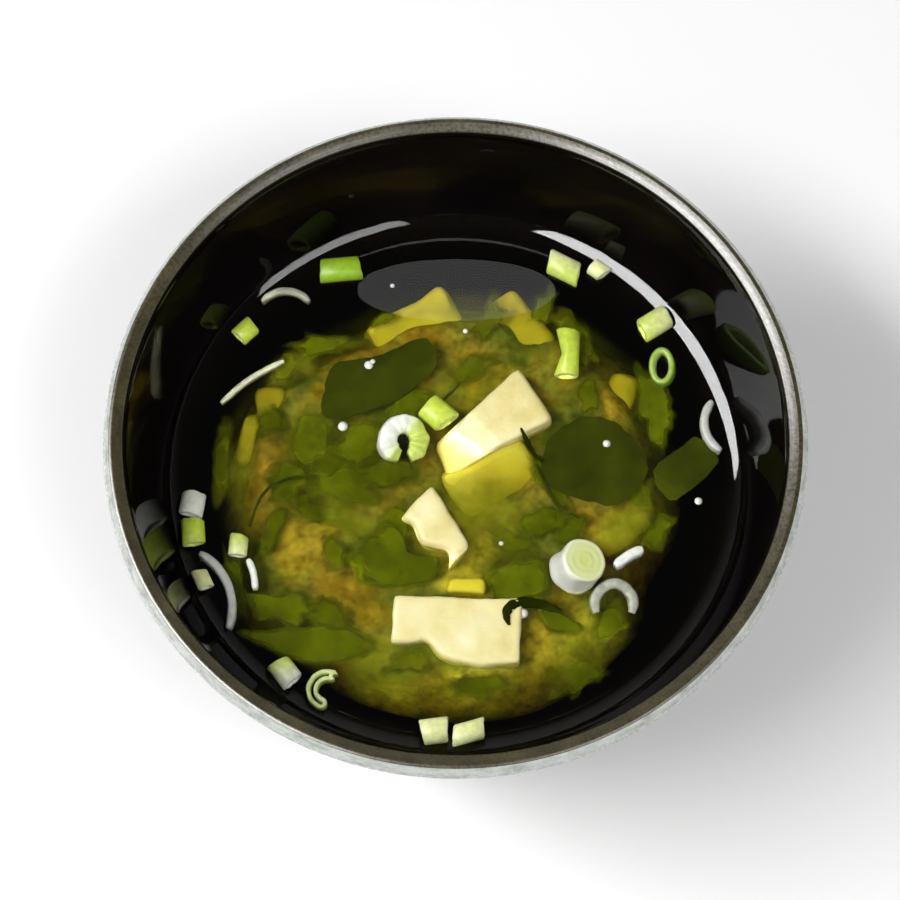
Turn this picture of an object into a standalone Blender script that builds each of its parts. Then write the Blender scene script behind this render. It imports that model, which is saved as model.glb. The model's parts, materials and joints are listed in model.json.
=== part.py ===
"""Miso soup in its bowl: a turned, lacquered bowl, clear soup, tofu, wakame and cut scallion.

The origin is the middle of the foot's resting plane, +Z is up and -Y is the front.
The sizes below are in millimetres, and are turned into metres as each mesh is made.
"""

import math
from collections import namedtuple

import bmesh
import bpy
from mathutils import Euler, Matrix, Vector

MM = 0.001
WELD = 0.0001
GAP = 0.3
TURN_STEPS = 56

# The bowl, as radii and heights above the foot.
HEIGHT = 62
RIM_RADIUS = 61
LIP_RADIUS = 59.2
MOUTH_RADIUS = 57.2
LIP_DROP = 2.2
SHOULDER = 2.4
FLOOR = 9.5
INSIDE_STEEP = (51.2, 39.8)
INSIDE_FULL = (48, FLOOR)
WALL_AT_FLOOR = 4
WALL_AT_LIP = 3.5
FOOT_TOP_RADIUS = 28
FOOT_RADIUS = 29
FOOT_HEIGHT = 11.2
FOOT_INSIDE_RADIUS = 25
FOOT_RECESS = 5.5
FOOT_EDGE = 0.8
WALL_POINTS = 12
LIP_POINTS = 3

# The soup, up to its level.
LEVEL = 39

# Tofu: the corners of each block's upper face, seen from above.
Block = namedtuple("Block", "name corners top depth lean lean_towards")
TOFU_EDGE = 0.6
TOFU = (
    Block("tofu_back", ((11.5, 20.8), (-3.4, 6.4), (-1, 0.2), (17.8, 10.8)), 1.2, 14, 3, 215),
    Block(
        "tofu_middle",
        ((-4.2, -1.8), (-10, -8.1), (-7.5, -9), (-6.1, -12.8), (-0.9, -14.1), (-1.4, -18),
         (2.6, -13.2), (0.1, -9)),
        0.8, 7, 1, 250,
    ),
    Block(
        "tofu_front",
        ((-10.8, -22.6), (-11.3, -31.3), (-7.5, -31.4), (-5.1, -30.8), (-2.9, -33.4), (-0.1, -34.7),
         (4.5, -35.5), (11.7, -35), (11.8, -23.3)),
        0.9, 9, 1, 250,
    ),
    Block("tofu_bit", ((-1, -18.9), (-1.7, -21.6), (5.6, -22.1), (5.8, -18.9)), 0.3, 6, 0, 0),
)

# Wakame: the outline of each leaf that lies in the surface, seen from above.
LEAF_THICK = 1
LEAF_RIPPLE = 0.22
LEAF_WAVE = 5.5
WAKAME = {
    "wakame_left": (
        (-22.4, 21.8), (-24.4, 14.3), (-24.1, 11.6), (-20.3, 11.2), (-15.7, 14.7), (-11.2, 17.2),
        (-6.7, 19.2), (-3.7, 21.2), (-4.3, 25.7), (-6.9, 26.7), (-12.8, 24), (-17, 20.8),
    ),
    "wakame_right": (
        (17.1, 7.4), (15, 1.9), (15.9, -1.2), (20.8, -3.2), (27.4, -3.9), (31.8, -2),
        (34.6, 0.7), (33.6, 3.8), (30.4, 9.4), (27.1, 11.4), (22.6, 11),
    ),
    "wakame_strip": ((43.6, 7.6), (41, 5.4), (36.8, 2.6), (37.1, -2.2), (40.1, -4.1), (46.9, 2.9)),
    "wakame_front": (
        (-38.1, -29.8), (-32.5, -32.4), (-24.1, -35.2), (-15.4, -34.3), (-13, -32.6),
        (-13.1, -29.8), (-23.8, -27.7), (-31.2, -28.4),
    ),
    "wakame_centre": (
        (-18, -13.4), (-17.7, -17.8), (-13.7, -21.2), (-4.7, -21.1), (-3.3, -19.2), (-2.5, -15.5),
        (-7.5, -14.2), (-9.1, -10.2), (-11.7, -9.4),
    ),
}

# Scallion tubes that lie on their side: middle, height over the soup, length, width and turn.
Tube = namedtuple("Tube", "x y lift length width turn colour")
TUBE_FLAT = 0.72
TUBE_WALL = 0.9
TUBE_SIDES = 12
TUBES = (
    Tube(-21.2, 40.1, 0.5, 7.4, 4.6, 6, "scallion_green"),
    Tube(-38.6, 27.8, 0.5, 3.8, 3.8, 45, "scallion_green"),
    Tube(19.8, 40.6, 0.6, 6.2, 4.6, -28, "scallion_white"),
    Tube(26.3, 40.4, 0.6, 3, 3.4, -38, "scallion_white"),
    Tube(36.4, 29.6, 0.6, 5.8, 4.6, 34, "scallion_white"),
    Tube(20.3, 23.7, 0.5, 9, 4.4, 87, "scallion_green"),
    Tube(-3.1, 11.7, 0.9, 5, 5.2, -42, "scallion_green"),
    Tube(-47, -6.2, 0.9, 4.2, 4.4, 82, "scallion_white"),
    Tube(-46.7, -11.5, 0.9, 4.6, 4.2, 95, "scallion_white"),
    Tube(-44.7, -20.4, 1.5, 3.4, 2.9, 115, "scallion_white"),
    Tube(-38.6, -13.6, 0.6, 3.8, 3.4, 85, "scallion_green"),
    Tube(-29.8, -37.3, 0.7, 4.6, 4.3, -52, "scallion_white"),
    Tube(-3.6, -47.5, 0.8, 4.6, 4.6, 8, "scallion_white"),
    Tube(2.5, -47.7, 0.7, 5.6, 3.8, 16, "scallion_white"),
)

# Scallion rings and open slices that stand on edge: the middle of the bend, its radii, wall,
# height, first angle and sweep, then a lean and the way it leans.
Slice = namedtuple("Slice", "x y lift radius_x radius_y wall height start sweep lean towards colour")
FULL_TURN = 360
RING_SIDE_ANGLE = 24
SLICES = (
    Slice(-31.4, 31, 0.1, 5.3, 5.3, 1.2, 2.2, 36, 108, 0, 0, "scallion_white"),
    Slice(37.6, 21.1, 0.3, 1.8, 3, 1.1, 2.6, 0, FULL_TURN, 12, 200, "scallion_green"),
    Slice(51.2, 10.2, 0.2, 6.4, 6.4, 1.5, 2.4, 140, 96, 0, 0, "scallion_white"),
    Slice(-9.4, 6.5, 0.9, 3.4, 3.6, 2.3, 4.2, -62, 318, 14, 300, "scallion_white"),
    Slice(-50.9, -25.6, 0.3, 11.7, 11.7, 1.5, 2.8, -18, 79, 0, 0, "scallion_white"),
    Slice(-47.7, -21.9, 0.2, 12.4, 12.4, 1.2, 2.2, 1, 26, 0, 0, "scallion_white"),
    Slice(-22, -40.4, 0.4, 2.8, 2.8, 1.8, 2.4, 64, 182, 0, 0, "scallion_green"),
    Slice(38.4, -27.2, 0.6, 14, 14, 1.7, 2.2, 111, 24, 0, 0, "scallion_white"),
    Slice(28.2, -24, 0.4, 3.4, 3.7, 1.9, 3, -24, 228, 0, 0, "scallion_white"),
    Slice(-18.4, -7, 0, 32, 32, 1.1, 1.7, 114, 25, 0, 0, "scallion_white"),
)

# The thick slice from near the root, solid right through.
ROOT_SLICE = Slice(21.9, -17.3, 1.1, 4.4, 3.9, 0, 6.2, 0, FULL_TURN, 22, 14, "scallion_white")
ROOT_SLICE_EDGE = 0.4
ROOT_SLICE_SIDES = 16

# Colours are linear, and the last value is the roughness.
FINISHES = {
    "lacquer": (0.004, 0.003, 0.003, 0.12),
    "soup": (0.045, 0.04, 0.008, 0.05),
    "tofu": (0.8, 0.72, 0.44, 0.45),
    "wakame": (0.03, 0.06, 0.005, 0.3),
    "scallion_green": (0.32, 0.5, 0.05, 0.4),
    "scallion_white": (0.72, 0.76, 0.45, 0.4),
}


def bezier(start, start_handle, end_handle, end, count):
    """Points along a cubic curve, evenly stepped, with both of its ends."""
    corners = [Vector(point) for point in (start, start_handle, end_handle, end)]
    points = []
    for step in range(count):
        t = step / (count - 1)
        weights = ((1 - t) ** 3, 3 * t * (1 - t) ** 2, 3 * t**2 * (1 - t), t**3)
        total = sum((weight * corner for weight, corner in zip(weights, corners)), Vector((0, 0)))
        points.append((total.x, total.y))
    return points


def arc(middle, radius_x, radius_y, start, end, count):
    """Points along part of an ellipse, from one angle to another in degrees."""
    points = []
    for step in range(count):
        angle = math.radians(start + (end - start) * step / (count - 1))
        points.append(
            (middle[0] + radius_x * math.cos(angle), middle[1] + radius_y * math.sin(angle))
        )
    return points


def inside_wall():
    """The bowl's inside, from the middle of its floor up to just under the lip."""
    return bezier(
        (0, FLOOR), INSIDE_FULL, INSIDE_STEEP, (MOUTH_RADIUS, HEIGHT - LIP_DROP), WALL_POINTS
    )


def beside(points, distances):
    """The points moved square to their line, out of the bowl for distances over zero."""
    ahead = points[1:] + points[-1:]
    behind = points[:1] + points[:-1]
    moved = []
    for point, after, before, distance in zip(points, ahead, behind, distances):
        along = (Vector(after) - Vector(before)).normalized()
        moved.append((point[0] + distance * along.y, point[1] - distance * along.x))
    return moved


def outside_wall():
    """The bowl's outside from under the shoulder to the foot, thinner towards the lip."""
    last = WALL_POINTS - 1
    thick = [
        WALL_AT_FLOOR + (WALL_AT_LIP - WALL_AT_FLOOR) * step / last for step in range(WALL_POINTS)
    ]
    wall = beside(inside_wall(), thick)
    kept = [(x, z) for x, z in wall if x > FOOT_TOP_RADIUS + 1 and z < HEIGHT - SHOULDER]
    return kept[::-1]


def bowl_outline():
    """The turned outline: up the inside, over the lip, down the outside and under the foot."""
    lip_width = LIP_RADIUS - MOUTH_RADIUS
    lip = arc((LIP_RADIUS, HEIGHT - LIP_DROP), lip_width, LIP_DROP, 180, 90, LIP_POINTS + 1)
    shoulder = arc(
        (LIP_RADIUS, HEIGHT - SHOULDER), RIM_RADIUS - LIP_RADIUS, SHOULDER, 90, 0, LIP_POINTS + 1
    )
    foot = [
        (FOOT_TOP_RADIUS, FOOT_HEIGHT),
        (FOOT_RADIUS, FOOT_EDGE),
        (FOOT_RADIUS - FOOT_EDGE, 0),
        (FOOT_INSIDE_RADIUS + FOOT_EDGE, 0),
        (FOOT_INSIDE_RADIUS, FOOT_EDGE),
        (FOOT_INSIDE_RADIUS - FOOT_EDGE, FOOT_RECESS),
        (0, FOOT_RECESS),
    ]
    return inside_wall() + lip[1:] + shoulder[1:] + outside_wall() + foot


def soup_outline():
    """The soup's outline, a gap inside the wall: out along its level and down to the floor."""
    wall = inside_wall()
    points = beside(wall, [-GAP] * len(wall))
    below = [point for point in points if point[1] < LEVEL]
    (low_x, low_z), (high_x, high_z) = points[len(below) - 1], points[len(below)]
    share = (LEVEL - low_z) / (high_z - low_z)
    edge = (low_x + share * (high_x - low_x), LEVEL)
    return [(0, LEVEL), edge] + below[::-1]


def make_collection(name):
    collection = bpy.data.collections.new(name)
    bpy.context.scene.collection.children.link(collection)
    return collection


def make_finish(name):
    """A plain material of the finish's colour and roughness."""
    red, green, blue, roughness = FINISHES[name]
    material = bpy.data.materials.new(name)
    material.use_nodes = True
    shader = material.node_tree.nodes["Principled BSDF"]
    shader.inputs["Base Color"].default_value = (red, green, blue, 1)
    shader.inputs["Roughness"].default_value = roughness
    shader.inputs["Metallic"].default_value = 0
    material.diffuse_color = (red, green, blue, 1)
    return material


def add_mesh_object(name, bm, finish, collection):
    """The bmesh as an object in the collection, scaled from millimetres."""
    bmesh.ops.scale(bm, vec=Vector((MM, MM, MM)), verts=bm.verts)
    mesh = bpy.data.meshes.new(name)
    bm.to_mesh(mesh)
    bm.free()
    mesh.materials.append(finish)
    obj = bpy.data.objects.new(name, mesh)
    collection.objects.link(obj)
    return obj


def place(obj, x, y, z, rotation):
    obj.location = Vector((x, y, z)) * MM
    obj.rotation_euler = rotation


def leaning(lean, towards):
    """A rotation that leans a piece's top towards a direction."""
    way = math.radians(towards)
    axis = Vector((-math.sin(way), math.cos(way), 0))
    return Matrix.Rotation(math.radians(lean), 3, axis).to_euler()


def shade_round(obj, angle=40):
    obj.data.shade_smooth()
    obj.data.set_sharp_from_angle(angle=math.radians(angle))


def make_turned(name, outline, finish, collection):
    """A solid of revolution about Z from an outline of (radius, height) points."""
    bm = bmesh.new()
    row = [bm.verts.new((radius, 0, height)) for radius, height in outline]
    for one, other in zip(row, row[1:]):
        bm.edges.new((one, other))
    obj = add_mesh_object(name, bm, finish, collection)
    screw = obj.modifiers.new("turn", "SCREW")
    screw.axis = "Z"
    screw.steps = TURN_STEPS
    screw.render_steps = TURN_STEPS
    screw.use_merge_vertices = True
    screw.merge_threshold = WELD
    screw.use_smooth_shade = True
    return obj


def make_band(name, points, closed, height, wall, finish, collection):
    """An upright band along the points, given its wall by Solidify."""
    bm = bmesh.new()
    row = [bm.verts.new((x, y, -height / 2)) for x, y in points]
    followers = row[1:] + row[:1] if closed else row[1:]
    edges = [bm.edges.new((one, other)) for one, other in zip(row, followers)]
    raised = bmesh.ops.extrude_edge_only(bm, edges=edges)["geom"]
    top = [item for item in raised if isinstance(item, bmesh.types.BMVert)]
    bmesh.ops.translate(bm, verts=top, vec=(0, 0, height))
    bmesh.ops.recalc_face_normals(bm, faces=bm.faces)
    obj = add_mesh_object(name, bm, finish, collection)
    solidify = obj.modifiers.new("wall", "SOLIDIFY")
    solidify.thickness = wall * MM
    solidify.offset = 0
    solidify.use_even_offset = True
    shade_round(obj)
    return obj


def make_tube(name, tube, finish, collection):
    """A short length of scallion lying on the soup, a little flattened."""
    half_width = (tube.width - TUBE_WALL) / 2
    sides = arc((0, 0), half_width * TUBE_FLAT, half_width, 0, FULL_TURN, TUBE_SIDES + 1)
    obj = make_band(name, sides[:-1], True, tube.length, TUBE_WALL, finish, collection)
    lying = Euler((0, math.radians(90), math.radians(tube.turn)))
    place(obj, tube.x, tube.y, LEVEL + tube.lift, lying)
    return obj


def make_slice(name, item, finish, collection):
    """A ring of scallion, or part of one, standing on edge in the surface."""
    closed = item.sweep == FULL_TURN
    count = max(4, round(item.sweep / RING_SIDE_ANGLE)) + 1
    bend = arc((0, 0), item.radius_x, item.radius_y, item.start, item.start + item.sweep, count)
    points = bend[:-1] if closed else bend
    obj = make_band(name, points, closed, item.height, item.wall, finish, collection)
    place(obj, item.x, item.y, LEVEL + item.lift, leaning(item.lean, item.towards))
    return obj


def make_root_slice(name, finish, collection):
    """The thick white slice, wider at its lower end."""
    item = ROOT_SLICE
    bm = bmesh.new()
    bmesh.ops.create_cone(
        bm,
        cap_ends=True,
        segments=ROOT_SLICE_SIDES,
        radius1=item.radius_x,
        radius2=item.radius_y,
        depth=item.height,
    )
    obj = add_mesh_object(name, bm, finish, collection)
    add_bevel(obj, ROOT_SLICE_EDGE, 50)
    place(obj, item.x, item.y, LEVEL + item.lift, leaning(item.lean, item.towards))
    shade_round(obj)
    return obj


def add_bevel(obj, width, angle):
    bevel = obj.modifiers.new("edge", "BEVEL")
    bevel.width = width * MM
    bevel.segments = 1
    bevel.limit_method = "ANGLE"
    bevel.angle_limit = math.radians(angle)


def make_block(block, finish, collection):
    """A block of tofu from the corners of its upper face, leaning a little."""
    middle = sum((Vector(corner) for corner in block.corners), Vector((0, 0)))
    middle /= len(block.corners)
    curve = bpy.data.curves.new(block.name, "CURVE")
    curve.dimensions = "2D"
    curve.fill_mode = "BOTH"
    curve.extrude = block.depth / 2 * MM
    spline = curve.splines.new("POLY")
    spline.points.add(len(block.corners) - 1)
    for point, (x, y) in zip(spline.points, block.corners):
        point.co = ((x - middle.x) * MM, (y - middle.y) * MM, 0, 1)
    spline.use_cyclic_u = True
    outline = bpy.data.objects.new(block.name + "_outline", curve)
    collection.objects.link(outline)
    graph = bpy.context.evaluated_depsgraph_get()
    mesh = bpy.data.meshes.new_from_object(outline.evaluated_get(graph))
    bpy.data.objects.remove(outline)
    bm = bmesh.new()
    bm.from_mesh(mesh)
    bmesh.ops.remove_doubles(bm, verts=bm.verts, dist=WELD * MM)
    bm.to_mesh(mesh)
    bm.free()
    mesh.name = block.name
    mesh.materials.clear()
    mesh.materials.append(finish)
    obj = bpy.data.objects.new(block.name, mesh)
    collection.objects.link(obj)
    add_bevel(obj, TOFU_EDGE, 50)
    height = LEVEL + block.top - block.depth / 2
    place(obj, middle.x, middle.y, height, leaning(block.lean, block.lean_towards))
    return obj


def make_leaf(name, outline, finish, collection):
    """A leaf of wakame floating in the surface: a fan of its outline, rippled and thickened."""
    bm = bmesh.new()
    face = bm.faces.new([bm.verts.new((x, y, 0)) for x, y in outline])
    bmesh.ops.poke(bm, faces=[face])
    bmesh.ops.subdivide_edges(bm, edges=bm.edges, cuts=1, use_grid_fill=True)
    for vert in bm.verts:
        across = math.sin(vert.co.x * math.tau / LEAF_WAVE / 2)
        along = math.cos(vert.co.y * math.tau / LEAF_WAVE / 3)
        vert.co.z = LEAF_RIPPLE * across * along
    bmesh.ops.recalc_face_normals(bm, faces=bm.faces)
    obj = add_mesh_object(name, bm, finish, collection)
    solidify = obj.modifiers.new("thickness", "SOLIDIFY")
    solidify.thickness = LEAF_THICK * MM
    solidify.offset = 0
    place(obj, 0, 0, LEVEL, (0, 0, 0))
    shade_round(obj)
    return obj


def make_pocket(piece, collection):
    """A cutter of the piece's form, a gap larger on every side."""
    graph = bpy.context.evaluated_depsgraph_get()
    mesh = bpy.data.meshes.new_from_object(piece.evaluated_get(graph))
    bm = bmesh.new()
    bm.from_mesh(mesh)
    bm.normal_update()
    moves = [vert.normal * vert.calc_shell_factor() * GAP * MM for vert in bm.verts]
    for vert, move in zip(bm.verts, moves):
        vert.co += move
    bm.to_mesh(mesh)
    bm.free()
    cutter = bpy.data.objects.new(piece.name + "_pocket", mesh)
    cutter.matrix_world = piece.matrix_world
    cutter.hide_render = True
    cutter.display_type = "WIRE"
    collection.objects.link(cutter)


def make_garnish(finishes, collection):
    """Everything that floats in the soup, each piece its own object."""
    pieces = [make_block(block, finishes["tofu"], collection) for block in TOFU]
    for name, outline in WAKAME.items():
        pieces.append(make_leaf(name, outline, finishes["wakame"], collection))
    for number, tube in enumerate(TUBES, 1):
        name = f"scallion_tube_{number:02d}"
        pieces.append(make_tube(name, tube, finishes[tube.colour], collection))
    for number, item in enumerate(SLICES, 1):
        name = f"scallion_slice_{number:02d}"
        pieces.append(make_slice(name, item, finishes[item.colour], collection))
    pieces.append(make_root_slice("scallion_root", finishes[ROOT_SLICE.colour], collection))
    return pieces


def main():
    for obj in list(bpy.data.objects):
        bpy.data.objects.remove(obj)
    parts = make_collection("miso_soup")
    pockets = make_collection("pockets")
    finishes = {name: make_finish(name) for name in FINISHES}
    make_turned("bowl", bowl_outline(), finishes["lacquer"], parts)
    soup = make_turned("soup", soup_outline(), finishes["soup"], parts)
    garnish = make_garnish(finishes, parts)
    bpy.context.view_layer.update()
    for piece in garnish:
        make_pocket(piece, pockets)
    cut = soup.modifiers.new("pockets", "BOOLEAN")
    cut.operation = "DIFFERENCE"
    cut.solver = "EXACT"
    cut.operand_type = "COLLECTION"
    cut.collection = pockets


main()
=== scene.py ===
import json
import math
import random

import bmesh
import bpy
from mathutils import Matrix, Vector, noise


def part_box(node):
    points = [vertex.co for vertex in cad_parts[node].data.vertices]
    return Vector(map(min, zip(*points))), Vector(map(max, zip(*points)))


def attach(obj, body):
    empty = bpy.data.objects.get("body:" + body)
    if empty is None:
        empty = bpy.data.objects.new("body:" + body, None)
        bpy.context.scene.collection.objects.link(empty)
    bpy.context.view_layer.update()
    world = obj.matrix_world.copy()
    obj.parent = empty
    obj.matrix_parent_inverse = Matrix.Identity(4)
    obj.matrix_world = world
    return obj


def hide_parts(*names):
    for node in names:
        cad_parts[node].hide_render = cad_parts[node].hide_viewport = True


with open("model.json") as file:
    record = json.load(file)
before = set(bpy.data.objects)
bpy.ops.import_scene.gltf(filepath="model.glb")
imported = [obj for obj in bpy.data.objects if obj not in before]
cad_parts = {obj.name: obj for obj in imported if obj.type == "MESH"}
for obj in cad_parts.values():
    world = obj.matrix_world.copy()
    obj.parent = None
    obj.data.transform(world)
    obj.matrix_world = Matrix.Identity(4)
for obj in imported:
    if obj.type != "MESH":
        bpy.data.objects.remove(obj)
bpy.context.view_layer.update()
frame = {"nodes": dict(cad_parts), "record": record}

MM = 0.001

# The frame's driving heights and radii, in metres.
BOWL_LOW, BOWL_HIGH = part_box("bowl")
RIM_RADIUS = BOWL_HIGH.x
HEIGHT = BOWL_HIGH.z
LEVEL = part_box("soup")[1].z
SOUP_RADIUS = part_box("soup")[1].x

# The bowl's turned outline, in millimetres below its rim or from its axis.
MOUTH_IN = 3.8
BAND_IN = 1.8
LIP_OVER = 0.75
LIP_DROP = 2.2
BAND_DROP = 0.85
# The lip's inner side up to its crest, as (distance from the mouth, distance below the rim).
LIP_SHAPE = ((0.1, 1.3), (0.4, 0.74), (0.9, 0.47), (1.4, 0.24), (2.0, 0.0))
SHOULDER = 2.4
FLOOR_Z = 9.5
INSIDE_STEEP = (51.2, 39.8)
INSIDE_FULL = (48, FLOOR_Z)
WALL_AT_FLOOR = 4
WALL_AT_LIP = 3.5
FOOT_TOP = (28, 11.2)
FOOT_RADIUS = 29
FOOT_INSIDE_RADIUS = 25
FOOT_RECESS = 5.5
FOOT_EDGE = 0.8
WALL_POINTS = 60
TURN_STEPS = 256

# The liquid's slope towards the wall, as (distance from the wall in millimetres, slope).
CLIMB_SLOPES = ((0, 1.2), (0.15, 0.53), (2.0, 0.39), (3.2, 0.06), (5.0, 0.0))
INTO_WALL = 0.12

# The camera, from the front and high up.
CAMERA_HEIGHT_DEG = 69.1
CAMERA_DISTANCE = 0.5
CAMERA_LENS = 116
CAMERA_AIM = Vector((-0.95 * MM, -3.7 * MM, HEIGHT))


# ---------------------------------------------------------------- helpers for nodes and meshes


def new_material(name):
    """A Principled material, as (material, tree, shader)."""
    material = bpy.data.materials.new(name)
    material.use_nodes = True
    tree = material.node_tree
    return material, tree, tree.nodes["Principled BSDF"]


def add_node(tree, kind, inputs=None, **settings):
    """A node with its settings, and its inputs given as values or as sockets to link."""
    made = tree.nodes.new(kind)
    for name, value in settings.items():
        setattr(made, name, value)
    for name, value in (inputs or {}).items():
        if isinstance(value, bpy.types.NodeSocket):
            tree.links.new(value, made.inputs[name])
        else:
            made.inputs[name].default_value = value
    return made


def place_of(tree):
    return add_node(tree, "ShaderNodeTexCoord").outputs["Object"]


def noise_of(tree, scale, detail=2, stretch=None, roughness=0.5):
    """Noise over the object's own coordinates; scale is in features per metre."""
    place = place_of(tree)
    if stretch:
        mapping = add_node(tree, "ShaderNodeMapping", {"Vector": place, "Scale": stretch})
        place = mapping.outputs["Vector"]
    made = add_node(
        tree,
        "ShaderNodeTexNoise",
        {"Vector": place, "Scale": scale, "Detail": detail, "Roughness": roughness},
    )
    return made.outputs["Fac"]


def ramp_of(tree, factor, stops):
    """Colours along a factor, from (position, (r, g, b)) stops."""
    made = add_node(tree, "ShaderNodeValToRGB", {"Fac": factor})
    elements = made.color_ramp.elements
    while len(elements) < len(stops):
        elements.new(0.5)
    for element, (position, colour) in zip(elements, stops):
        element.position = position
        element.color = (*colour, 1)
    return made.outputs["Color"]


def range_of(tree, value, from_low, from_high, to_low, to_high):
    made = add_node(
        tree,
        "ShaderNodeMapRange",
        {
            "Value": value,
            "From Min": from_low,
            "From Max": from_high,
            "To Min": to_low,
            "To Max": to_high,
        },
    )
    return made.outputs["Result"]


def mix_of(tree, factor, one, other):
    made = add_node(tree, "ShaderNodeMix", data_type="RGBA")
    for index, value in ((0, factor), (6, one), (7, other)):
        if isinstance(value, bpy.types.NodeSocket):
            tree.links.new(value, made.inputs[index])
        else:
            made.inputs[index].default_value = value if index == 0 else (*value, 1)
    return made.outputs[2]


def scaled(tree, colour, amount):
    """A colour made lighter or darker by an amount."""
    made = add_node(tree, "ShaderNodeVectorMath", operation="SCALE")
    tree.links.new(colour, made.inputs[0])
    tree.links.new(amount, made.inputs["Scale"])
    return made.outputs[0]


def bump(tree, shader, height, strength, distance):
    made = add_node(
        tree,
        "ShaderNodeBump",
        {"Height": height, "Strength": strength, "Distance": distance},
    )
    tree.links.new(made.outputs["Normal"], shader.inputs["Normal"])


def add_object(name, points, faces, material, smooth=True):
    """A mesh object from points in metres."""
    mesh = bpy.data.meshes.new(name)
    mesh.from_pydata([tuple(point) for point in points], [], faces)
    mesh.validate()
    mesh.materials.append(material)
    if smooth:
        mesh.shade_smooth()
    made = bpy.data.objects.new(name, mesh)
    bpy.context.scene.collection.objects.link(made)
    return made


def set_layers(mesh, values):
    attribute = mesh.attributes.new("layer", "FLOAT", "POINT")
    attribute.data.foreach_set("value", values)


def ride(piece, slot, *nodes):
    """The piece rides on the part's one body, and the CAD nodes given are hidden."""
    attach(piece, "root")
    if nodes:
        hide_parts(*nodes)


def smooth_loop(corners, steps):
    """A closed Catmull-Rom curve through the corners, with so many steps between two of them."""
    count = len(corners)
    points = []
    for index in range(count):
        a, b, c, d = (Vector(corners[(index + k - 1) % count]) for k in range(4))
        for step in range(steps):
            t = step / steps
            points.append(
                0.5 * (2 * b + (c - a) * t + (2 * a - 5 * b + 4 * c - d) * t**2
                       + (3 * b - a - 3 * c + d) * t**3)
            )
    return points


def smooth_open(corners, steps):
    """A Catmull-Rom curve from the first corner to the last."""
    last = len(corners) - 1
    points = []
    for index in range(last):
        a, b, c, d = (Vector(corners[min(max(index + k - 1, 0), last)]) for k in range(4))
        for step in range(steps):
            t = step / steps
            points.append(
                0.5 * (2 * b + (c - a) * t + (2 * a - 5 * b + 4 * c - d) * t**2
                       + (3 * b - a - 3 * c + d) * t**3)
            )
    return points + [Vector(corners[last])]


def bezier(start, start_handle, end_handle, end, count):
    corners = [Vector(point) for point in (start, start_handle, end_handle, end)]
    points = []
    for step in range(count):
        t = step / (count - 1)
        weights = ((1 - t) ** 3, 3 * t * (1 - t) ** 2, 3 * t**2 * (1 - t), t**3)
        points.append(sum((w * c for w, c in zip(weights, corners)), Vector((0, 0))))
    return points


def arc(middle, radius_x, radius_y, start, end, count):
    points = []
    for step in range(count):
        angle = math.radians(start + (end - start) * step / (count - 1))
        points.append(
            Vector(
                (middle[0] + radius_x * math.cos(angle), middle[1] + radius_y * math.sin(angle))
            )
        )
    return points


def turned(name, outline, material):
    """A surface of revolution from (radius, height) points in millimetres; ends on the axis."""
    points, faces = [], []
    rings = []
    for radius, height in outline:
        if radius < 1e-6:
            rings.append([len(points)])
            points.append((0, 0, height * MM))
            continue
        rings.append(list(range(len(points), len(points) + TURN_STEPS)))
        for step in range(TURN_STEPS):
            angle = math.tau * step / TURN_STEPS
            points.append(
                (radius * MM * math.cos(angle), radius * MM * math.sin(angle), height * MM)
            )
    for one, other in zip(rings, rings[1:]):
        for step in range(TURN_STEPS):
            after = (step + 1) % TURN_STEPS
            if len(one) == 1:
                faces.append((one[0], other[step], other[after]))
            elif len(other) == 1:
                faces.append((one[step], other[0], one[after]))
            else:
                faces.append((one[step], other[step], other[after], one[after]))
    return add_object(name, points, faces, material)


# ---------------------------------------------------------------- the bowl


def inside_wall():
    """The bowl's inside in millimetres, from the middle of its floor up to just under the lip."""
    mouth = RIM_RADIUS / MM - MOUTH_IN
    top = HEIGHT / MM - LIP_DROP
    return bezier((0, FLOOR_Z), INSIDE_FULL, INSIDE_STEEP, (mouth, top), WALL_POINTS)


def beside(points, distances):
    """The points moved square to their line, out of the bowl for distances over zero."""
    ahead = points[1:] + points[-1:]
    behind = points[:1] + points[:-1]
    moved = []
    for point, after, before, distance in zip(points, ahead, behind, distances):
        along = (after - before).normalized()
        moved.append(point + distance * Vector((along.y, -along.x)))
    return moved


def outside_wall():
    last = WALL_POINTS - 1
    thick = [
        WALL_AT_FLOOR + (WALL_AT_LIP - WALL_AT_FLOOR) * step / last for step in range(WALL_POINTS)
    ]
    wall = beside(inside_wall(), thick)
    kept = [p for p in wall if p.x > FOOT_TOP[0] + 1 and p.y < HEIGHT / MM - SHOULDER]
    return kept[::-1]


def lacquer_material():
    """Near-black lacquer: deep gloss, with faint unevenness in its polish."""
    material, tree, shader = new_material("black_lacquer")
    cloud = noise_of(tree, 60, 3)
    tint = ramp_of(tree, cloud, ((0.3, (0.0016, 0.001, 0.001)), (0.75, (0.004, 0.0026, 0.0028))))
    tree.links.new(tint, shader.inputs["Base Color"])
    polish = noise_of(tree, 700, 4)
    tree.links.new(range_of(tree, polish, 0.3, 0.7, 0.025, 0.05), shader.inputs["Roughness"])
    shader.inputs["Specular IOR Level"].default_value = 0.12
    return material


def lip_material():
    """The lip's dark olive-brown band, where the lacquer is rubbed thin."""
    material, tree, shader = new_material("lip_band")
    streaks = noise_of(tree, 240, 4, stretch=(1, 1, 3))
    tint = ramp_of(
        tree,
        streaks,
        ((0.25, (0.024, 0.019, 0.007)), (0.55, (0.044, 0.037, 0.014)), (0.85, (0.076, 0.066, 0.027))),
    )
    tree.links.new(tint, shader.inputs["Base Color"])
    tree.links.new(
        range_of(tree, noise_of(tree, 1500, 3), 0.3, 0.7, 0.22, 0.36), shader.inputs["Roughness"]
    )
    bump(tree, shader, noise_of(tree, 1200, 3), 0.12, 0.0002)
    return material


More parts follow.
